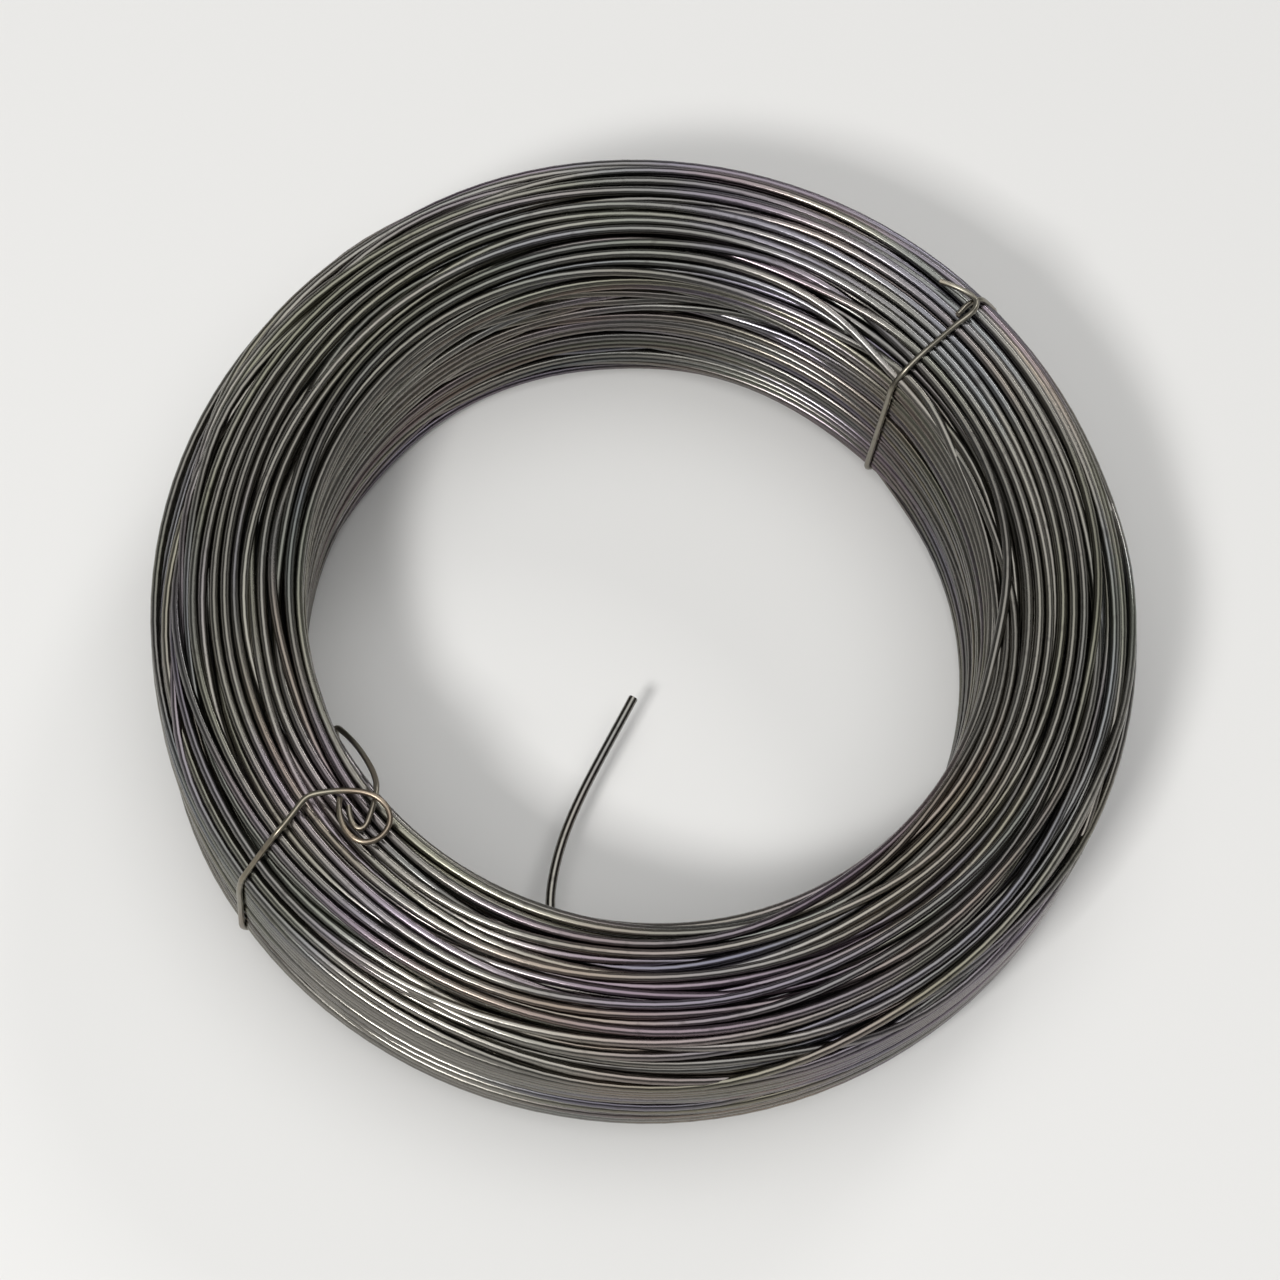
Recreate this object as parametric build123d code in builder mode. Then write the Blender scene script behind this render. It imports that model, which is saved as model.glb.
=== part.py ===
from build123d import *
import os
from math import cos, radians, sin, sqrt, tan

# the wire, and the coil that it is wound into, in millimetres
wire_diameter = 1.8
bore_diameter = 126.0  # the eye, as wide as the drum that the coil was wound on
coil_diameter = 184.0
coil_height = 48.0
turn_pitch = 3.6  # from one ridge of turns to the next across an end
turn_groove = 0.6  # how deep the gap between two such ridges is
row_pitch = 9.6  # the same two sizes up a wall, where a ridge stands for a few rows of turns
row_groove = 1.0
end_share = 0.5  # how far down the outer shoulder the closer ridges of the end go
wire_sides = 6
bore_shoulder = 5.0  # rounding of the bundle at the rim of the eye
outer_shoulder = 13.0  # rounding of the bundle at its outer rim

# the free end of the innermost turn: where it leaves the wall, then its runs into the eye, each as
# the angle that it has turned away from the wall by then, and its length
inner_end_angle = 283.0
inner_end_height = 6.5
inner_end_slope = 0.045
inner_end_runs = [(14, 9.5), (50, 9.5), (80, 10.0), (106, 12.5), (112, 14.5), (119, 15.5)]

# the free end of the outermost turn, which springs clear just past the first tie
outer_end_height = 33.0
outer_end_sweep = 23.0
outer_end_spring = 0.6

# the two ties that bind the coil, of thinner wire
tie_diameter = 1.1
tie_clearance = 0.03
seat_clearance = 0.15
foot_tightness = 0.6  # how much tighter than the bundle's shoulder a tie turns to go under it
largest_bend = 4.0
first_tie_angle = 56.0
second_tie_angle = 230.0
hook_length = 8.0
tail_length = 6.0
lap_length = 5.0
# where the second tie's ends go, as places outwards from the eye's wall, sideways and above the top
standing_end = [
    (6.8, 7.4, 0.2),
    (3.4, 5.4, 0.5),
    (0.1, 2.0, 0.0),
    (-2.0, -2.6, -2.6),
    (-2.9, -8.0, -6.4),
    (-2.8, -12.4, -10.6),
    (-2.2, -12.0, -16.6),
]
standing_lean = -6.0
curled_end = [(13.0, -3.6, 0.5), (7.4, -1.6, 1.6)]
loop_middle = (5.6, 5.8, 1.4)
loop_radius = 4.8
loop_start = 215.0
loop_turn = 52.0
loop_corners = 6
loop_rise = 0.9
loop_drop = 0.36

bore_radius = bore_diameter / 2
coil_radius = coil_diameter / 2
half_height = coil_height / 2
wire_radius = wire_diameter / 2
tie_radius = tie_diameter / 2

# a tie lies on the bundle at its sides and top, and is let into its underside, level with it
stand_off = tie_radius + tie_clearance
tie_inside = bore_radius - stand_off
tie_outside = coil_radius + stand_off
tie_top = coil_height + stand_off
corner_share = 2 - sqrt(2)  # a round corner of radius 1 as two eighth turns starts this far from it
inner_corner = (bore_shoulder + stand_off) * corner_share
outer_corner = (outer_shoulder + stand_off) * corner_share
inner_foot = bore_shoulder * foot_tightness * corner_share
outer_foot = outer_shoulder * foot_tightness * corner_share

os.makedirs("parts", exist_ok=True)


def polar(radius, angle, height):
    return Vector(radius * cos(radians(angle)), radius * sin(radians(angle)), height)


def beside_tie(angle, place):
    """A place as radius, sideways and height, seen from the tie at that angle."""
    radius, sideways, height = place
    return polar(radius, angle, height) + polar(sideways, angle + 90, 0)


def at_the_eye(place):
    """A place outwards from the eye's wall, sideways and above a tie that lies on the top."""
    outwards, sideways, above = place
    return (bore_radius + outwards, sideways, tie_top + above)


def bends(points):
    """For each corner of a route, a radius as large as its two runs allow."""
    radii = []
    for before, corner, after in zip(points, points[1:], points[2:]):
        turn = radians((corner - before).get_angle(after - corner))
        shorter = min((corner - before).length, (after - corner).length)
        radii.append(0.45 * shorter / tan(turn / 2))
    return radii


def wire_along(points, radius, largest):
    """A wire along a route, as a solid of the part that is being built."""
    with BuildLine() as route:
        FilletPolyline(*points, radius=[min(bend, largest) for bend in bends(points)])
    with BuildSketch(Plane(origin=route.line @ 0, z_dir=route.line % 0)) as section:
        RegularPolygon(radius, wire_sides)
    sweep(section.sketch, path=route.wire())


# the upper half of the coil in section: wall of the eye, end, and outer wall
shoulder_middle = (coil_radius - outer_shoulder, half_height - outer_shoulder)
with BuildLine() as eye_wall:
    Line((bore_radius, 0), (bore_radius, half_height - bore_shoulder))
with BuildLine() as end:
    CenterArc((bore_radius + bore_shoulder, half_height - bore_shoulder), bore_shoulder, 180, -90)
    Line(end.line @ 1, (coil_radius - outer_shoulder, half_height))
    CenterArc(shoulder_middle, outer_shoulder, 90, -90 * end_share)
with BuildLine() as outer_wall:
    CenterArc(shoulder_middle, outer_shoulder, 90 * (1 - end_share), -90 * (1 - end_share))
    Line(outer_wall.line @ 1, (coil_radius, 0))


def ridges(stretch, pitch, groove):
    """Crest and groove by turns along a stretch of the section, up to its last groove."""
    steps = 2 * max(1, round(stretch.length / pitch))
    outline = []
    for step in range(steps):
        along = stretch % (step / steps)
        depth = groove if step % 2 else 0
        outline.append(stretch @ (step / steps) + Vector(along.Y, -along.X) * depth)
    return outline


with BuildPart() as wire_coil:
    mid_plane = Plane(origin=(0, 0, half_height), x_dir=(1, 0, 0), z_dir=(0, -1, 0))
    with BuildSketch(mid_plane):
        with BuildLine():
            Polyline(
                *ridges(eye_wall.wire(), row_pitch, row_groove),
                *ridges(end.wire(), turn_pitch, turn_groove),
                *ridges(outer_wall.wire(), row_pitch, row_groove),
                (coil_radius, 0),
            )
            mirror(about=Plane.XZ)
        make_face()
    revolve(axis=Axis.Z)
    # the seats of the two ties across the underside
    for tie_angle in (first_tie_angle, second_tie_angle):
        with BuildSketch(Plane.XY):
            with PolarLocations((bore_radius + coil_radius) / 2, 1, start_angle=tie_angle):
                Rectangle(coil_radius - bore_radius + tie_diameter, tie_diameter + 2 * seat_clearance)
        extrude(amount=tie_diameter + seat_clearance, mode=Mode.SUBTRACT)
    # the inner end leaves the wall along its turn and bends round towards the middle of the eye
    inner_places = [polar(bore_radius + wire_radius / 3, inner_end_angle, inner_end_height)]
    for heading, run in inner_end_runs:
        direction = inner_end_angle - 90 - heading
        inner_places.append(inner_places[-1] + polar(run, direction, run * inner_end_slope))
    wire_along(inner_places, wire_radius, coil_radius)
    # the outer end springs out of the outer wall
    outer_places = []
    for share in (0, 0.5, 1):
        radius = coil_radius + outer_end_spring - (1 - share) * wire_diameter
        outer_places.append(polar(radius, first_tie_angle + share * outer_end_sweep, outer_end_height))
    with BuildLine() as outer_route:
        ThreePointArc(*outer_places)
    with BuildSketch(Plane(origin=outer_route.line @ 0, z_dir=outer_route.line % 0)):
        RegularPolygon(wire_radius, wire_sides)
    sweep(path=outer_route.wire())
wire_coil.part.label = "wire_coil"
export_step(wire_coil.part, "parts/wire_coil.step")

# what both ties share: down the wall of the eye, under the coil and up its outer wall
foot_inside = (tie_inside, 0, tie_radius + inner_foot)
under_inside = (tie_inside + inner_foot, 0, tie_radius)
under_outside = (tie_outside - outer_foot, 0, tie_radius)
foot_outside = (tie_outside, 0, tie_radius + outer_foot)
underneath = [foot_inside, under_inside, under_outside, foot_outside]

# the first tie: one end lies along the top, and the other is hooked over it
with BuildPart() as first_tie:
    hook = tie_outside - outer_corner
    hook_over = tie_top + tie_diameter + seat_clearance
    places = [
        (hook - hook_length / 2, hook_length, tie_top),
        (hook - tie_diameter, 2 * tie_diameter, hook_over),
        (hook, -stand_off, hook_over),
        (hook - lap_length, -stand_off, tie_top),
        (tie_inside + inner_corner, 0, tie_top),
        (tie_inside, 0, tie_top - inner_corner),
        *underneath,
        (tie_outside, stand_off, tie_top - outer_corner),
        (hook, stand_off, tie_top),
        (hook - tail_length, stand_off, tie_top),
    ]
    wire_along([beside_tie(first_tie_angle, place) for place in places], tie_radius, largest_bend)
first_tie.part.label = "first_tie"
export_step(first_tie.part, "parts/first_tie.step")

# the second tie: one end stands off the wall of the eye, the other is curled round in a loose loop
with BuildPart() as second_tie:
    places = [at_the_eye(place) for place in standing_end]
    places += [
        (tie_inside - stand_off, standing_lean, half_height),
        *underneath,
        (tie_outside, 0, tie_top - outer_corner),
        (tie_outside - outer_corner, 0, tie_top),
    ]
    places += [at_the_eye(place) for place in curled_end]
    for corner in range(loop_corners):
        swing = polar(loop_radius, loop_start - loop_turn * corner, loop_rise - loop_drop * corner)
        places.append(at_the_eye(Vector(*loop_middle) + swing))
    wire_along([beside_tie(second_tie_angle, place) for place in places], tie_radius, largest_bend)
second_tie.part.label = "second_tie"
export_step(second_tie.part, "parts/second_tie.step")
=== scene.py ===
import math
import bpy
import numpy as np
from mathutils import Matrix, Vector


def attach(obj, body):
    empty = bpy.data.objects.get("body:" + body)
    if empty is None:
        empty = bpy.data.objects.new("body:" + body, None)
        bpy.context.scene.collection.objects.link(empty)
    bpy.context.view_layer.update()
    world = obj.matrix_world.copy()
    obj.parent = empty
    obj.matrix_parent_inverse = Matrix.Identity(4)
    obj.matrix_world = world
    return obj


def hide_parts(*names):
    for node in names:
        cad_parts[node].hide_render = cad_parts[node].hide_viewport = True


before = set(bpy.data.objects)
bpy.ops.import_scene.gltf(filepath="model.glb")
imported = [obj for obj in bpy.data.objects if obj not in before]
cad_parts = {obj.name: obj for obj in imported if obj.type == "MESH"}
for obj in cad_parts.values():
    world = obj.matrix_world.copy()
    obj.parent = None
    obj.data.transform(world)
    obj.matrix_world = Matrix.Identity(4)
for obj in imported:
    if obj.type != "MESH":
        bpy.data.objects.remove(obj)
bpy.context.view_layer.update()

scene = bpy.context.scene
scene.view_settings.view_transform = "Standard"
mm = 0.001

cameraSettings = {
    "distance": 0.714,         # from the middle of the coil's upper face, in metres
    "elevation": 68.0,
    "azimuth": 1.5,            # degrees to the right of straight in front
    "roll": 12.0,
    "lens": 110.0,
    "sensor": 36.0,
    "aim": (0.0, -0.003, 0.0265),
    "coilTop": 0.048,
}


def direction(azimuth, elevation):
    a, e = math.radians(azimuth), math.radians(elevation)
    return Vector((math.cos(e) * math.cos(a), math.cos(e) * math.sin(a), math.sin(e)))


def addObject(name, data):
    thing = bpy.data.objects.new(name, data)
    scene.collection.objects.link(thing)
    return thing


def placed(place, towards):
    # at a place, looking along a direction
    return Matrix.Translation(place) @ towards.to_track_quat("-Z", "Y").to_matrix().to_4x4()


def makeCamera(s):
    way = direction(s["azimuth"] - 90, s["elevation"])
    place = Vector((0, 0, s["coilTop"])) + way * s["distance"]
    data = bpy.data.cameras.new("sceneCamera")
    data.lens = s["lens"]
    data.sensor_width = s["sensor"]
    camera = addObject("sceneCamera", data)
    roll = Matrix.Rotation(math.radians(s["roll"]), 4, "Z")
    camera.matrix_world = placed(place, Vector(s["aim"]) - place) @ roll
    scene.camera = camera


makeCamera(cameraSettings)
print("camera placed")


class Signal:
    # a number socket that can be added to, taken from and multiplied
    def __init__(self, tree, socket):
        self.tree = tree
        self.socket = socket

    def maths(self, operation, first, second, clamp=False):
        node = addNode(self.tree, "ShaderNodeMath", {"operation": operation, "use_clamp": clamp},
                       {0: first, 1: second})
        return Signal(self.tree, node.outputs[0])

    def __add__(self, other):
        return self.maths("ADD", self, other)

    __radd__ = __add__

    def __mul__(self, other):
        return self.maths("MULTIPLY", self, other)

    __rmul__ = __mul__

    def __sub__(self, other):
        return self.maths("SUBTRACT", self, other)

    def __rsub__(self, other):
        return self.maths("SUBTRACT", other, self)

    def clamped(self):
        return self.maths("ADD", self, 0.0, clamp=True)

    def between(self, low, high):
        # 0 below low, 1 above high, smooth in between
        node = addNode(self.tree, "ShaderNodeMapRange", {"interpolation_type": "SMOOTHSTEP"},
                       {0: self, 1: low, 2: high, 3: 0.0, 4: 1.0})
        return Signal(self.tree, node.outputs[0])


def addNode(tree, kind, settings=None, values=None):
    # settings go in first, because some of them change the sockets
    node = tree.nodes.new(kind)
    for name, value in (settings or {}).items():
        setattr(node, name, value)
    for key, value in (values or {}).items():
        if isinstance(value, Signal):
            tree.links.new(value.socket, node.inputs[key])
        elif isinstance(value, bpy.types.NodeSocket):
            tree.links.new(value, node.inputs[key])
        else:
            node.inputs[key].default_value = value
    return node


def mixColours(tree, factor, first, second):
    node = addNode(tree, "ShaderNodeMix", {"data_type": "RGBA"}, {0: factor, 6: first, 7: second})
    return Signal(tree, node.outputs[2])


def newMaterial(name):
    material = bpy.data.materials.new(name)
    material.use_nodes = True
    material.node_tree.nodes.clear()
    return material, material.node_tree


def finishMaterial(tree, values):
    shader = addNode(tree, "ShaderNodeBsdfPrincipled", {}, values)
    addNode(tree, "ShaderNodeOutputMaterial", {}, {0: shader.outputs[0]})


# the coil's own sizes are in millimetres and degrees
coilSettings = {
    "boreRadius": 63.0,        # this and the next four are the sizes of the solid
    "outerRadius": 92.0,
    "height": 48.0,
    "innerShoulder": 5.0,
    "outerShoulder": 13.0,
    "wireRadius": 0.9,
    "wireSides": 8,
    "layerPitch": 1.94,        # from layer to layer outwards, roughly
    "rowPitch": 1.93,          # from row to row up a layer
    "samplesPerTurn": 120,
    "startAngle": 283.0,       # where the inner end leaves the wall
    "endAngle": 79.0,          # where the outer end is cut
    "stepSpread": 0.07,        # how unevenly the turns step over to their next places
    "stepRun": 4,              # over how many turns that changes
    "stepLimits": (0.38, 0.62),
    "stepLength": 0.76,        # the share of a turn that such a step takes
    "wander": 0.4,             # how far a turn strays from its place by itself
    "quickWander": (5, 0.6),   # how often it changes in a turn, and its share of the straying
    "slowWander": (2, 0.8),
    "drift": 1.45,             # how far it strays together with its neighbours
    "driftWaves": 30,
    "driftLength": 11.0,
    "swings": 9,               # a wave of the drift swings less often than this in a turn
    "crossOver": 0.5,          # how hard a turn that crosses an earlier one is lifted over it
    "crossReach": 0.7,         # how near to it that begins, in spacings
    "pairReach": 1.7,          # how near turns lie that may come to touch, in spacings
    "push": 0.75,              # how much of an overlap is undone in a round
    "pairRounds": 7,           # after how many rounds the near turns are looked up again
    "spacing": 1.015,          # how far apart touching turns are kept, in wire diameters
    "rounds": 140,             # of pushing the turns apart
    "easing": 4,               # of smoothing after the last of them
    "margin": 0.03,            # kept free inside the solid's box
    "faceDepth": 1.5,          # how sharply the nearest face of the bundle is told from the others
    "looseTurns": 9,           # the last turns, which stand off the others at the left
    "looseAngle": 181.0,
    "looseSpread": 19.0,
    "looseGap": 4.2,
    "looseShares": (0.5, 0.95, 0.15),
    "looseChance": (-0.08, 0.05),
    "looseSlope": 0.7,         # how much of the gap lowers the shoulder there
    "skinDepth": 4.6,          # turns deeper than this in the bundle aren't drawn
    "skinLap": 4,
    "shortest": 6,             # a shorter stretch is joined to the one before it
    "tint": 0.5,
    "tintSpread": 0.22,
    "seed": 11,
}

tieSettings = {
    "angles": (56.0, 230.0),   # where the two ties are, round the coil
    "radius": 0.55,
    "sides": 10,
    "pinch": 0.35,             # how far a tie pulls the turns in
    "pinchSpread": 9.0,
    "lift": 1.28,              # the room for it under the coil
    "liftSpread": 3.5,
    "slice": 2.0,              # how many degrees of the coil a tie's wrap is measured from
    "ringStep": 12,            # degrees between the points round each turn there
    "outlineStep": 0.4,
    "wrapStep": 0.8,
    "wrapEasing": 2,
    "wrapEvery": 6,            # the wrap's line goes through every sixth of its points
    "parts": 10,
    "lineStep": 0.7,
    "lineEasing": 3,
    "tint": 0.6,
    "patchesFrom": 3.0,        # where along the noise a tie's patches start
}


def heightLimits(radius, s):
    # lowest and highest middle of a wire at a radius, inside the rounded bundle
    inset = s["wireRadius"] + s["margin"]
    inner = s["innerShoulder"] - inset
    outer = s["outerShoulder"] - inset
    fromInner = np.clip(s["boreRadius"] + s["innerShoulder"] - radius, 0, inner)
    fromOuter = np.clip(radius - (s["outerRadius"] - s["outerShoulder"]), 0, outer)
    drop = np.maximum(inner - np.sqrt(inner ** 2 - fromInner ** 2),
                      outer - np.sqrt(outer ** 2 - fromOuter ** 2))
    return inset + drop, s["height"] - inset - drop


def layTurns(s):
    # the place of every turn in the bundle: up one layer and down the next
    inset = s["wireRadius"]
    width = s["outerRadius"] - s["boreRadius"] - 2 * inset
    layers = 1 + round(width / s["layerPitch"])
    places = []
    for layer in range(layers):
        radius = s["boreRadius"] + inset + layer * width / (layers - 1)
        low, high = heightLimits(np.array([radius]), s)
        rows = 1 + int((high[0] - low[0]) / s["rowPitch"])
        heights = np.linspace(low[0], high[0], rows)
        places += [(radius, height) for height in (heights[::-1] if layer % 2 else heights)]
    return np.array(places)


def curveShare(p0, p1, p2, p3, t):
    # a smooth curve from p1 to p2 that heads where its neighbours lie
    return 0.5 * (2 * p1 + (p2 - p0) * t + (2 * p0 - 5 * p1 + 4 * p2 - p3) * t ** 2
                  + (3 * p1 - p0 - 3 * p2 + p3) * t ** 3)


def smoothNoise(count, step, rng):
    # random values that change slowly along the wire
    knots = rng.normal(size=count // step + 5)
    place = np.arange(count) / step + 1
    whole = place.astype(int)
    return curveShare(*(knots[whole + k] for k in (-1, 0, 1, 2)), place - whole)


def smoothStep(share):
    share = np.clip(share, 0, 1)
    return share * share * (3 - 2 * share)


def eased(line, rounds):
    # a stiff wire has no sharp corners
    line = line.copy()
    for repeat in range(rounds):
        line[1:-1] = 0.25 * line[:-2] + 0.5 * line[1:-1] + 0.25 * line[2:]
    return line


def angleFrom(angles, middle):
    return (angles - middle + 180) % 360 - 180


def angleBump(angles, middle, width):
    return np.exp(-(angleFrom(angles, middle) / width) ** 2)


def sharedDrift(angles, course, s, rng):
    # neighbouring turns stray together, so they bunch and part without passing through each other
    around = np.radians(angles)
    shift = np.zeros_like(course)
    for wave in range(s["driftWaves"]):
        tilt = rng.normal(size=2) * 2 * math.pi / s["driftLength"]
        way = rng.uniform(0, 2 * math.pi)
        swings = rng.integers(1, s["swings"])
        swing = np.sin(swings * around + course @ tilt + rng.uniform(0, 2 * math.pi))
        shift += swing[:, None] * np.array([math.cos(way), math.sin(way)])
    return shift * s["drift"] * math.sqrt(2 / s["driftWaves"])


def outOfBundle(course, s):
    # which way is out of the bundle, by the nearest of its four faces
    low, high = heightLimits(course[:, 0], s)
    depths = np.stack([course[:, 0] - s["boreRadius"], s["outerRadius"] - course[:, 0],
                       course[:, 1] - low, high - course[:, 1]], 1)
    near = np.exp(-depths / s["faceDepth"])
    way = np.stack([near[:, 1] - near[:, 0], near[:, 3] - near[:, 2]], 1)
    return way / np.maximum(np.linalg.norm(way, axis=1), 1e-6)[:, None]


def closePairs(course, perTurn, reach):
    # samples of two turns at the same angle and near each other, the earlier turn first
    count = len(course)
    whole = int(math.ceil(count / perTurn)) * perTurn
    # the last turn is filled up with places that are far from everything and from each other
    farAway, farApart = 1e4, 50
    grid = np.full((whole, 2), farAway, np.float32)
    grid[:count] = course
    grid[count:, 0] += farApart * np.arange(whole - count)
    grid = grid.reshape(-1, perTurn, 2).transpose(1, 0, 2)
    across = grid[:, :, None, 0] - grid[:, None, :, 0]
    up = grid[:, :, None, 1] - grid[:, None, :, 1]
    near = (across * across + up * up) < reach ** 2
    near &= np.triu(np.ones(near.shape[1:], bool), 1)[None]
    column, first, second = np.nonzero(near)
    one, two = first * perTurn + column, second * perTurn + column
    inside = (one < count) & (two < count)
    return one[inside], two[inside]


def strayNoise(count, step, rng):
    # one slow random value for the radius and one for the height
    return np.stack([smoothNoise(count, step, rng), smoothNoise(count, step, rng)], 1)


def roughCourse(s, rng):
    # the wire along the places of its turns, with its strays, before the turns push each other
    perTurn = s["samplesPerTurn"]
    places = layTurns(s)
    turns = len(places)
    lastTurn = ((s["endAngle"] - s["startAngle"]) % 360) / 360
    count = int((turns - 1 + lastTurn) * perTurn) + 1
    sample = np.arange(count)
    angles = (s["startAngle"] + sample * 360 / perTurn) % 360
    turn = sample // perTurn
    # each turn steps over to its next place a little before or after the turn below it
    middle = 0.5 + s["stepSpread"] * smoothNoise(turns, s["stepRun"], rng)
    middle = np.clip(middle, *s["stepLimits"])[turn]
    step = smoothStep(((sample % perTurn) / perTurn - middle) / s["stepLength"] + 0.5)[:, None]
    course = places[turn] * (1 - step) + places[np.minimum(turn + 1, turns - 1)] * step
    quickSteps, quickShare = s["quickWander"]
    slowSteps, slowShare = s["slowWander"]
    quick = strayNoise(count, perTurn // quickSteps, rng)
    slow = strayNoise(count, perTurn // slowSteps, rng)
    stray = s["wander"] * (quickShare * quick + slowShare * slow)
    return course + stray + sharedDrift(angles, course, s, rng), angles, turn


def roomForTurns(angles, turn, s, ties, rng):
    # how far the bundle is pinched by its ties, lifted over them, and drawn in at the left
    def atTies(spread, size):
        return sum(angleBump(angles, a, ties[spread]) for a in ties["angles"]) * ties[size]

    pinch, lift = atTies("pinchSpread", "pinch"), atTies("liftSpread", "lift")
    # the last turns stand off there, and all others are drawn in
    standing = np.zeros(turn[-1] + 1)
    standing[-s["looseTurns"]:] = (np.resize(s["looseShares"], s["looseTurns"])
                                   + rng.uniform(*s["looseChance"], s["looseTurns"]))
    drawnIn = angleBump(angles, s["looseAngle"], s["looseSpread"]) * s["looseGap"]
    return pinch, lift, drawnIn * (1 - standing[turn])


def settled(course, room, s):
    # touching turns push each other apart, and all of them stay inside the bundle
    pinch, lift, hug = room
    perTurn, count = s["samplesPerTurn"], len(course)
    inset = s["wireRadius"] + s["margin"]
    apart = 2 * s["wireRadius"] * s["spacing"]

    def keepInside(course):
        radius = np.clip(course[:, 0], s["boreRadius"] + inset + pinch,
                         s["outerRadius"] - inset - pinch - hug)
        low, high = heightLimits(radius + hug * s["looseSlope"], s)
        return np.stack([radius, np.clip(course[:, 1], low + lift, high - pinch)], 1)

    for loop in range(s["rounds"]):
        if loop % s["pairRounds"] == 0:
            one, two = closePairs(course, perTurn, s["pairReach"] * apart)
            out = outOfBundle(course, s)[one]
        gap = course[one] - course[two]
        # where two turns cross, the later one goes over the earlier
        nearness = 1 - np.hypot(gap[:, 0], gap[:, 1]) / (s["crossReach"] * apart)
        gap = gap - out * np.clip(nearness, 0, 1)[:, None] * s["crossOver"]
        length = np.maximum(np.hypot(gap[:, 0], gap[:, 1]), 1e-4)
        shove = gap * (np.clip(apart - length, 0, None) * 0.5 / length)[:, None]
        moves = [np.bincount(one, shove[:, k], count) - np.bincount(two, shove[:, k], count)
                 for k in (0, 1)]
        course = course + s["push"] * np.stack(moves, 1)
        course = keepInside(eased(course, 1))
    course = keepInside(eased(course, s["easing"]))
    left = np.clip(apart - np.hypot(*(course[one] - course[two]).T), 0, None)
    print("overlaps in millimetres: mean", round(float(left.mean()), 3),
          "worst", round(float(left.max()), 3))
    return course


def windCoil(s, ties):
    # the course of the whole wire as radius and height, and the angle of each of its samples
    rng = np.random.default_rng(s["seed"])
    course, angles, turn = roughCourse(s, rng)
    room = roomForTurns(angles, turn, s, ties, rng)
    print("winding", turn[-1] + 1, "turns")
    return settled(course, room, s), angles


def toSpace(course, angles):
    around = np.radians(angles)
    radius, height = course.T
    return np.stack([radius * np.cos(around), radius * np.sin(around), height], 1) * mm


def runLengths(line):
    # how far along the line each of its points lies
    return np.concatenate([[0], np.cumsum(np.linalg.norm(np.diff(line, axis=0), axis=1))])


endSettings = {
    "turnedAway": (14, 50, 80, 106, 112, 119),   # how far the inner end has turned from the wall
    "runs": (9.5, 9.5, 10.0, 12.5, 14.5, 15.5),
    "slope": 0.045,
    "parts": 12,               # how finely its line is drawn, in steps between two places
    "step": 1.5,
    "easing": 3,
    "outerFrom": tieSettings["angles"][0],       # where the outer end springs off the wall
    "outerSpring": 1.4,
    "outerCurve": 1.6,
    "outerLead": 3,            # how early it begins to rise to its height, in its own lengths
    "outerHeight": 33.5,
}


def springOuterEnd(course, s, ends):
    # past the tie the last stretch of the wire stands off the turns under it
    stretch = int(((s["endAngle"] - ends["outerFrom"]) % 360) / 360 * s["samplesPerTurn"])
    place = np.arange(len(course)) - (len(course) - 1)
    share = np.clip((place + stretch) / stretch, 0, 1)
    early = ends["outerLead"]
    lead = smoothStep((place + early * stretch) / ((early - 1) * stretch))
    course[:, 1] = course[:, 1] * (1 - lead) + ends["outerHeight"] * lead
    course[:, 0] += ends["outerSpring"] * share ** ends["outerCurve"]
    return course


coilCourse, coilAngles = windCoil(coilSettings, tieSettings)
coilCourse = springOuterEnd(coilCourse, coilSettings, endSettings)
coilPoints = toSpace(coilCourse, coilAngles)
coilAlong = runLengths(coilPoints)
print("wire length", round(float(coilAlong[-1]), 1), "m")


def throughPoints(points, parts):
    # a smooth line through a few points, with the same number of steps between each two
    points = np.asarray(points, float)
    ends = np.concatenate([[2 * points[0] - points[1]], points, [2 * points[-1] - points[-2]]])
    line = [curveShare(*ends[k:k + 4], t)
            for k in range(len(points) - 1) for t in np.arange(parts) / parts]
    return np.array(line + [points[-1]])


def evenly(line, step):
    # the same line with its points a fixed distance apart
    lengths = runLengths(line)
    count = max(2, int(round(lengths[-1] / step)) + 1)
    wanted = np.linspace(0, lengths[-1], count)
    return np.stack([np.interp(wanted, lengths, line[:, k]) for k in range(line.shape[1])], 1)


def innerEnd(ends, s, firstPoint):
    # from the cut tip in the eye to the place where the wire joins its first turn
    places = [np.array(firstPoint)]
    for away, run in zip(ends["turnedAway"], ends["runs"]):
        heading = math.radians(s["startAngle"] - 90 - away)
        way = np.array([math.cos(heading), math.sin(heading), ends["slope"]])
        places.append(places[-1] + way * run)
    middles = [0.5 * (places[k] + places[k + 1]) for k in range(1, len(places) - 2)]
    line = throughPoints([places[0]] + middles + [places[-1]], ends["parts"])
    return eased(evenly(line, ends["step"]), ends["easing"])[::-1]


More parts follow.
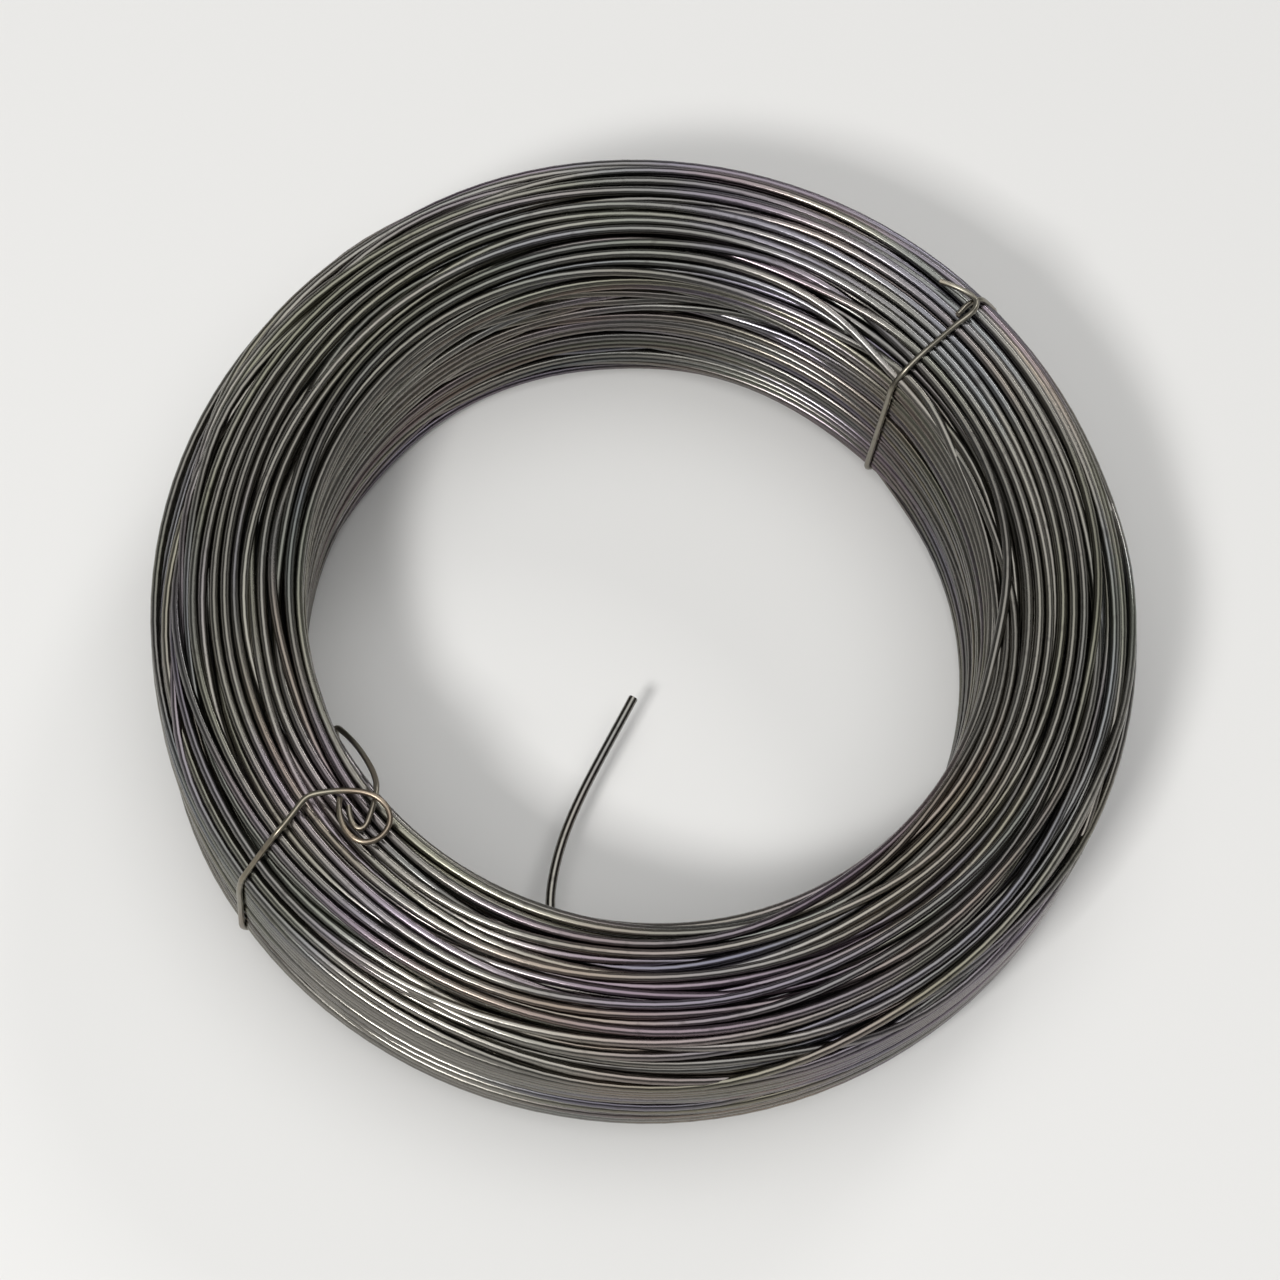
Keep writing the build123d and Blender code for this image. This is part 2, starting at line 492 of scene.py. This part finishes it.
def wireTree(name):
    # a round wire along every line of the course
    tree = bpy.data.node_groups.new(name, "GeometryNodeTree")
    face = tree.interface
    for label, kind in (("Course", "NodeSocketGeometry"), ("Wire Radius", "NodeSocketFloat"),
                        ("Wire Sides", "NodeSocketInt"), ("Finish", "NodeSocketMaterial")):
        face.new_socket(label, in_out="INPUT", socket_type=kind)
    face.new_socket("Wire", in_out="OUTPUT", socket_type="NodeSocketGeometry")
    start = addNode(tree, "NodeGroupInput")
    curve = addNode(tree, "GeometryNodeMeshToCurve", {}, {0: start.outputs["Course"]})
    ring = addNode(tree, "GeometryNodeCurvePrimitiveCircle", {},
                   {"Resolution": start.outputs["Wire Sides"],
                    "Radius": start.outputs["Wire Radius"]})
    tube = addNode(tree, "GeometryNodeCurveToMesh", {},
                   {"Curve": curve.outputs[0], "Profile Curve": ring.outputs["Curve"],
                    "Fill Caps": True})
    smooth = addNode(tree, "GeometryNodeSetShadeSmooth", {}, {0: tube.outputs[0]})
    whole = addNode(tree, "GeometryNodeRealizeInstances", {}, {0: smooth.outputs[0]})
    finish = addNode(tree, "GeometryNodeSetMaterial", {},
                     {0: whole.outputs[0], "Material": start.outputs["Finish"]})
    addNode(tree, "NodeGroupOutput", {}, {0: finish.outputs[0]})
    return tree


def wirePiece(name, runs, tree, radius, sides, material):
    # runs is a list of (points, attributes), and one wire is made along each
    points, edges, extras = [], [], {}
    for line, facts in runs:
        first = len(points)
        points.extend(line.tolist())
        edges.extend((first + k, first + k + 1) for k in range(len(line) - 1))
        for key, values in facts.items():
            extras.setdefault(key, []).extend(values.tolist())
    mesh = bpy.data.meshes.new(name + "Course")
    mesh.from_pydata(points, edges, [])
    for key, values in extras.items():
        mesh.attributes.new(key, "FLOAT", "POINT").data.foreach_set("value", values)
    holder = addObject(name + "Course", mesh)
    modifier = holder.modifiers.new("wire", "NODES")
    modifier.node_group = tree
    sockets = {item.name: item.identifier
               for item in tree.interface.items_tree if item.in_out == "INPUT"}
    modifier[sockets["Wire Radius"]] = radius * mm
    modifier[sockets["Wire Sides"]] = sides
    modifier[sockets["Finish"]] = material
    bpy.context.view_layer.update()
    depsgraph = bpy.context.evaluated_depsgraph_get()
    made = bpy.data.meshes.new_from_object(holder.evaluated_get(depsgraph))
    holder.modifiers.clear()
    bpy.data.objects.remove(holder)
    bpy.data.meshes.remove(mesh)
    made.name = name
    print(name, "has", len(made.polygons), "faces")
    return addObject(name, made)


coilSteelLook = {
    "dark": (0.068, 0.065, 0.06, 1),
    "light": (0.31, 0.292, 0.256, 1),
    "scale": (0.045, 0.04, 0.036, 1),          # flecks of darker mill scale
    "tints": {                                 # the oxide's colours: colour, patch size, strength
        "brown": ((0.2, 0.136, 0.1, 1), 15.0, 0.5),
        "violet": ((0.158, 0.116, 0.182, 1), 18.0, 0.5),
        "blue": ((0.1, 0.128, 0.16, 1), 21.0, 0.4),
        "olive": ((0.148, 0.152, 0.096, 1), 24.0, 0.42),
    },
    "tintEdge": (0.49, 0.64),                  # where in the noise a patch begins and is full
    "tintRun": (4.0, 0.4),                     # scale along the wire, and how much each tint adds
    "tintStart": (11.0, 26.0),                 # where each tint's noise starts, in the same way
    "tintShares": (0.6, 0.4),                  # of noise in space and along the wire
    "streaks": 9.0,                            # lighter and darker runs along the wire
    "clouds": 14.0,
    "shadeShares": (0.55, 0.55, 0.35),         # of the turn's own tone, streaks and clouds
    "shadeDrop": 0.22,
    "roughness": (0.16, 0.34),
    "roughShares": (0.7, 0.3),                 # of streaks and grain
    "grain": 420.0,
    "scaleEdge": (0.6, 0.8),
    "scaleStrength": 0.35,
    "bump": 0.08,
    "bumpDepth": 0.0001,
}

# the ties are of duller wire with a little rust
tieSteelLook = {
    **coilSteelLook,
    "dark": (0.1, 0.092, 0.076, 1),
    "light": (0.34, 0.315, 0.255, 1),
    "tints": {
        "straw": ((0.25, 0.222, 0.155, 1), 26.0, 0.4),
        "rust": ((0.2, 0.118, 0.07, 1), 60.0, 0.4),
    },
    "roughness": (0.24, 0.42),
}


def wireSteel(name, look):
    # annealed steel wire with a thin film of oil over its oxide
    material, tree = newMaterial(name)
    place = addNode(tree, "ShaderNodeTexCoord").outputs["Object"]

    def fact(name):
        node = addNode(tree, "ShaderNodeAttribute", {"attribute_name": name})
        return Signal(tree, node.outputs["Fac"])

    along, tint = fact("along"), fact("tint")

    def patchesIn(scale, detail):
        node = addNode(tree, "ShaderNodeTexNoise", {},
                       {"Vector": place, "Scale": scale, "Detail": detail})
        return Signal(tree, node.outputs["Fac"])

    def patchesAlong(scale, detail, start=0.0):
        node = addNode(tree, "ShaderNodeTexNoise", {"noise_dimensions": "1D"},
                       {"W": along + start, "Scale": scale, "Detail": detail})
        return Signal(tree, node.outputs["Fac"])

    streaks = patchesAlong(look["streaks"], 3.0)
    grain = patchesIn(look["grain"], 1.0)
    ofTurn, ofStreaks, ofClouds = look["shadeShares"]
    shade = (tint * ofTurn + streaks * ofStreaks + patchesIn(look["clouds"], 2.0) * ofClouds
             - look["shadeDrop"]).clamped()
    colour = mixColours(tree, shade, look["dark"], look["light"])
    # the oxide's tints lie in patches over neighbouring turns, a little different on each
    inSpace, alongWire = look["tintShares"]
    run, runStep = look["tintRun"]
    first, apart = look["tintStart"]
    for number, (tinted, size, strength) in enumerate(look["tints"].values()):
        own = patchesAlong(run + runStep * number, 1.0, first + apart * number)
        patch = patchesIn(size, 1.0) * inSpace + own * alongWire
        colour = mixColours(tree, patch.between(*look["tintEdge"]) * strength, colour, tinted)
    flecks = grain.between(*look["scaleEdge"]) * look["scaleStrength"]
    colour = mixColours(tree, flecks, colour, look["scale"])
    low, high = look["roughness"]
    ofStreaks, ofGrain = look["roughShares"]
    rough = (streaks * ofStreaks + grain * ofGrain) * (high - low) + low
    bump = addNode(tree, "ShaderNodeBump", {},
                   {"Strength": look["bump"], "Distance": look["bumpDepth"], "Height": grain})
    finishMaterial(tree, {"Base Color": colour, "Roughness": rough, "Metallic": 1.0,
                          "Normal": bump.outputs[0]})
    return material


def splitSkin(course, angles, s):
    # the stretches of wire that lie near the outside, each under the side that it lies on
    narrowed = angleBump(angles, s["looseAngle"], s["looseSpread"]) * s["looseGap"]
    low, high = heightLimits(course[:, 0] + s["looseSlope"] * narrowed, s)
    depths = np.stack([course[:, 0] - s["boreRadius"] - s["wireRadius"],
                       high - course[:, 1],
                       s["outerRadius"] - s["wireRadius"] - narrowed - course[:, 0],
                       course[:, 1] - low], 1)
    shown = depths.min(1) < s["skinDepth"]
    wide = shown.copy()
    for k in range(1, s["skinLap"] + 1):
        wide[k:] |= shown[:-k]
        wide[:-k] |= shown[k:]
    ends = np.flatnonzero(np.diff(np.concatenate([[0], wide.astype(int), [0]])))
    sides = {"boreTurns": [], "topTurns": [], "outerTurns": [], "baseTurns": []}  # as the depths
    for start, stop in zip(ends[::2], ends[1::2]):
        first = start
        while first < stop - 1:
            last = min(first + s["samplesPerTurn"], stop - 1)
            if stop - 1 - last < s["shortest"]:
                last = stop - 1
            nearest = np.bincount(depths[first:last + 1].argmin(1), minlength=len(sides)).argmax()
            spans = sides[list(sides)[int(nearest)]]
            # a stretch that goes on from the one before it is made one wire with it
            if spans and spans[-1][1] == first + 1:
                spans[-1] = (spans[-1][0], last + 1)
            else:
                spans.append((first, last + 1))
            first = last
    return sides


def makeTurns(s, ends, tree, material):
    rng = np.random.default_rng(s["seed"] + 1)
    noise = smoothNoise(len(coilPoints), s["samplesPerTurn"], rng)
    tint = np.clip(s["tint"] + s["tintSpread"] * noise, 0, 1)
    pieces = []
    for side, spans in splitSkin(coilCourse, coilAngles, s).items():
        runs = [(coilPoints[a:b], {"along": coilAlong[a:b], "tint": tint[a:b]})
                for a, b in spans]
        if spans[0][0] == 0:
            # the wire's first stretch starts with its free inner end
            tip = innerEnd(ends, s, coilPoints[0] / mm)[:-1] * mm
            points, facts = runs[0]
            before = -ends["step"] * mm * np.arange(len(tip), 0, -1)
            tone = np.full(len(tip), facts["tint"][0])
            runs[0] = (np.concatenate([tip, points]),
                       {"along": np.concatenate([before, facts["along"]]),
                        "tint": np.concatenate([tone, facts["tint"]])})
        pieces.append(wirePiece(side, runs, tree, s["wireRadius"], s["wireSides"], material))
    return pieces


tubeTree = wireTree("wireTube")
coilSteel = wireSteel("coilSteel", coilSteelLook)
coilPieces = makeTurns(coilSettings, endSettings, tubeTree, coilSteel)

# places are radius, sideways and height, seen from the tie; the wrap between them follows the turns
firstTieSettings = {
    "angle": tieSettings["angles"][0],
    "start": [(83.0, 8.6, 48.0), (84.6, 5.6, 47.9), (85.4, 2.8, 48.1), (85.2, 0.6, 48.3),
              (82.6, -0.4, 48.9)],
    "end": [(87.6, 1.0, 45.4), (85.6, 1.5, 46.9), (83.4, 1.6, 47.9), (80.4, 1.2, 48.6)],
    "wrapFrom": 86.0,          # degrees round the bundle's section
    "wrapTo": 398.0,
}

secondTieSettings = {
    "angle": tieSettings["angles"][1],
    "start": [(69.9, 2.4, 48.7), (71.0, 4.4, 48.7), (71.4, 6.3, 48.8), (70.6, 7.6, 48.9),
              (69.1, 7.0, 49.1), (67.2, 5.6, 49.2), (64.4, 3.2, 48.9), (62.6, 0.2, 47.4),
              (61.4, -4.6, 44.8), (60.8, -9.6, 41.6), (60.6, -14.4, 36.0), (61.1, -12.0, 29.0),
              (61.8, -7.2, 23.0), (62.2, -2.4, 18.6)],
    "end": [(84.4, -0.8, 47.4), (81.0, -1.4, 49.0), (77.6, -2.4, 49.5), (75.2, -3.0, 50.0),
            (72.6, -1.9, 50.4), (68.8, 0.5, 50.65), (66.0, 3.2, 50.72), (64.9, 5.9, 50.55),
            (65.3, 8.7, 50.3), (67.3, 10.4, 50.0), (70.2, 10.7, 49.8), (72.5, 9.1, 49.6),
            (73.2, 6.3, 49.5), (72.6, 3.6, 49.4), (71.4, 1.5, 49.1), (70.3, 0.3, 48.9)],
    "wrapFrom": 206.0,
    "wrapTo": 410.0,
}


def bundleOutline(course, angles, angle, away, ties):
    # the loop of a wire pulled tight round the turns, in the plane of the tie
    near = np.abs(angleFrom(angles, angle)) < ties["slice"]
    around = np.radians(np.arange(0, 360, ties["ringStep"]))
    ring = away * np.stack([np.cos(around), np.sin(around)], 1)
    cloud = (course[near][:, None, :] + ring[None]).reshape(-1, 2)
    cloud = cloud[np.lexsort((cloud[:, 1], cloud[:, 0]))]

    def half(points):
        kept = []
        for point in points:
            while len(kept) > 1:
                a, b = kept[-1] - kept[-2], point - kept[-1]
                if a[0] * b[1] - a[1] * b[0] > 0:
                    break
                kept.pop()
            kept.append(point)
        return kept[:-1]

    return np.array(half(cloud) + half(cloud[::-1]))


def tieWrap(tie, course, angles, s, ties):
    # the tight part of a tie, from where it leaves the bundle's top round to the other side
    outline = bundleOutline(course, angles, tie["angle"], s["wireRadius"] + ties["radius"], ties)
    outline = evenly(np.concatenate([outline, outline[:1]]), ties["outlineStep"])[:-1]
    radius, height = outline.T
    heading = np.degrees(np.arctan2(height - s["height"] / 2,
                                    radius - (s["boreRadius"] + s["outerRadius"]) / 2)) % 360
    first = int(np.argmin(np.abs(heading - tie["wrapFrom"])))
    outline = np.roll(outline, -first, axis=0)
    swept = (np.roll(heading, -first) - tie["wrapFrom"]) % 360
    swept[0] = 0
    outline = outline[swept <= tie["wrapTo"] - tie["wrapFrom"]]
    wrap = np.stack([outline[:, 0], np.zeros(len(outline)), outline[:, 1]], 1)
    return eased(evenly(wrap, ties["wrapStep"]), ties["wrapEasing"])


def tieLine(tie, course, angles, s, ties):
    wrap = tieWrap(tie, course, angles, s, ties)
    line = np.concatenate([tie["start"], wrap[::ties["wrapEvery"]], wrap[-1:], tie["end"]])
    line = eased(evenly(throughPoints(line, ties["parts"]), ties["lineStep"]), ties["lineEasing"])
    out = np.array(direction(tie["angle"], 0))
    side = np.array(direction(tie["angle"] + 90, 0))
    return (line[:, :1] * out + line[:, 1:2] * side + line[:, 2:] * np.array([0, 0, 1])) * mm


tieSteel = wireSteel("tieSteel", tieSteelLook)
tiePieces = {}
for name, settings in (("firstTieWire", firstTieSettings), ("secondTieWire", secondTieSettings)):
    line = tieLine(settings, coilCourse, coilAngles, coilSettings, tieSettings)
    facts = {"along": runLengths(line) + tieSettings["patchesFrom"],
             "tint": np.full(len(line), tieSettings["tint"])}
    tiePieces[name] = wirePiece(name, [(line, facts)], tubeTree,
                                tieSettings["radius"], tieSettings["sides"], tieSteel)

heartSettings = {
    "lap": 0.6,                # how far it reaches up among the drawn turns
    "innerRound": 1.2,
    "outerRound": 9.0,
    "cornerSteps": 6,
    "around": 96,
    # dark and light are painted shade: near black, for the deeper turns that lie in the bundle's
    # own shadow
    "dark": (0.017, 0.016, 0.015, 1),
    "light": (0.02, 0.019, 0.018, 1),
    "clouds": 60.0,
    "roughness": 0.6,
    "metallic": 0.5,
}


def paintedShadeHeartFinish(look):
    # the core's colour is painted shade, near black like the shadowed turns deep in the bundle
    material, tree = newMaterial("heartPaintedShade")
    place = addNode(tree, "ShaderNodeTexCoord").outputs["Object"]
    noise = addNode(tree, "ShaderNodeTexNoise", {}, {"Vector": place, "Scale": look["clouds"]})
    colour = mixColours(tree, noise.outputs["Fac"], look["dark"], look["light"])
    finishMaterial(tree, {"Base Color": colour, "Roughness": look["roughness"],
                          "Metallic": look["metallic"]})
    return material


def heartProfile(s, look):
    # the section, as four rounded corners, with its inner and outer radius
    inset = s["skinDepth"] - look["lap"]
    inner, outer = s["boreRadius"] + inset, s["outerRadius"] - inset
    base, top = inset, s["height"] - inset
    small, large = look["innerRound"], look["outerRound"]
    corners = ((inner + small, base + small, small, 180), (outer - large, base + large, large, 270),
               (outer - large, top - large, large, 0), (inner + small, top - small, small, 90))
    profile = []
    for middle, height, radius, start in corners:
        for k in range(look["cornerSteps"] + 1):
            angle = math.radians(start + 90 * k / look["cornerSteps"])
            profile.append((middle + radius * math.cos(angle), height + radius * math.sin(angle)))
    return profile, inner, outer


def makeHeart(s, look):
    # the inside of the bundle, behind the turns that are drawn, as a core coloured near black in
    # painted shade
    profile, inner, outer = heartProfile(s, look)
    around, rows = look["around"], len(profile)
    points, faces = [], []
    for k in range(around):
        angle = 2 * math.pi * k / around
        bump = float(angleBump(math.degrees(angle), s["looseAngle"], s["looseSpread"]))
        narrowed = bump * s["looseGap"]
        for radius, height in profile:
            radius -= narrowed * (radius - inner) / (outer - inner)
            points.append((radius * math.cos(angle) * mm, radius * math.sin(angle) * mm,
                           height * mm))
        following = (k + 1) % around
        for i in range(rows):
            j = (i + 1) % rows
            faces.append((k * rows + i, following * rows + i, following * rows + j, k * rows + j))
    mesh = bpy.data.meshes.new("coilHeart")
    mesh.from_pydata(points, [], faces)
    mesh.materials.append(paintedShadeHeartFinish(look))
    print("coilHeart has", len(faces), "faces")
    return addObject("coilHeart", mesh)


coilPieces.append(makeHeart(coilSettings, heartSettings))

stageLook = {
    "halfWidth": 3.0,
    "floor": (0.74, 0.73, 0.71, 1),
    "roughness": 0.85,
    "sky": (0.98, 0.99, 1.0, 1),
    "above": 2.3,              # the light from overhead
    "horizon": 0.6,            # from a pale wall all round
    "level": 0.09,             # and from elsewhere
    "aboveEdge": (0.78, 0.98),                 # how high up the first begins and is full
    "wallEdge": (0.2, 0.42),                   # how high up the second begins to end, and ends
    # azimuth, elevation, distance and size in metres, watts
    "lamps": {"keyLamp": (246, 52, 1.6, (0.3, 0.26), 14),
              "fillLamp": (70, 38, 1.8, (0.42, 0.34), 4.5)},
}


def makeStage(look):
    mesh = bpy.data.meshes.new("floor")
    far = look["halfWidth"]
    corners = [(-far, -far, 0), (far, -far, 0), (far, far, 0), (-far, far, 0)]
    mesh.from_pydata(corners, [], [(0, 1, 2, 3)])
    material, tree = newMaterial("floorPaper")
    finishMaterial(tree, {"Base Color": look["floor"], "Roughness": look["roughness"]})
    mesh.materials.append(material)
    addObject("floor", mesh)
    world = bpy.data.worlds.new("studio")
    scene.world = world
    world.use_nodes = True
    tree = world.node_tree
    tree.nodes.clear()
    place = addNode(tree, "ShaderNodeTexCoord").outputs["Generated"]
    way = addNode(tree, "ShaderNodeSeparateXYZ", {}, {0: place})
    height = Signal(tree, way.outputs[2])
    softBox = height.between(*look["aboveEdge"]) * (look["above"] - look["level"])
    wall = (1 - height.between(*look["wallEdge"])) * (look["horizon"] - look["level"])
    background = addNode(tree, "ShaderNodeBackground", {},
                         {"Color": look["sky"], "Strength": softBox + wall + look["level"]})
    addNode(tree, "ShaderNodeOutputWorld", {}, {0: background.outputs[0]})


def addLamp(name, azimuth, elevation, distance, size, power):
    data = bpy.data.lights.new(name, "AREA")
    data.shape = "RECTANGLE"
    data.size, data.size_y = size
    data.energy = power
    place = direction(azimuth, elevation) * distance
    addObject(name, data).matrix_world = placed(place, -place)


makeStage(stageLook)
for name, values in stageLook["lamps"].items():
    addLamp(name, *values)
print("stage and lamps made")

for piece in coilPieces:
    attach(piece, "root")
    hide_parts("wire_coil")
for name, node in (("firstTieWire", "first_tie"), ("secondTieWire", "second_tie")):
    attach(tiePieces[name], "root")
    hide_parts(node)
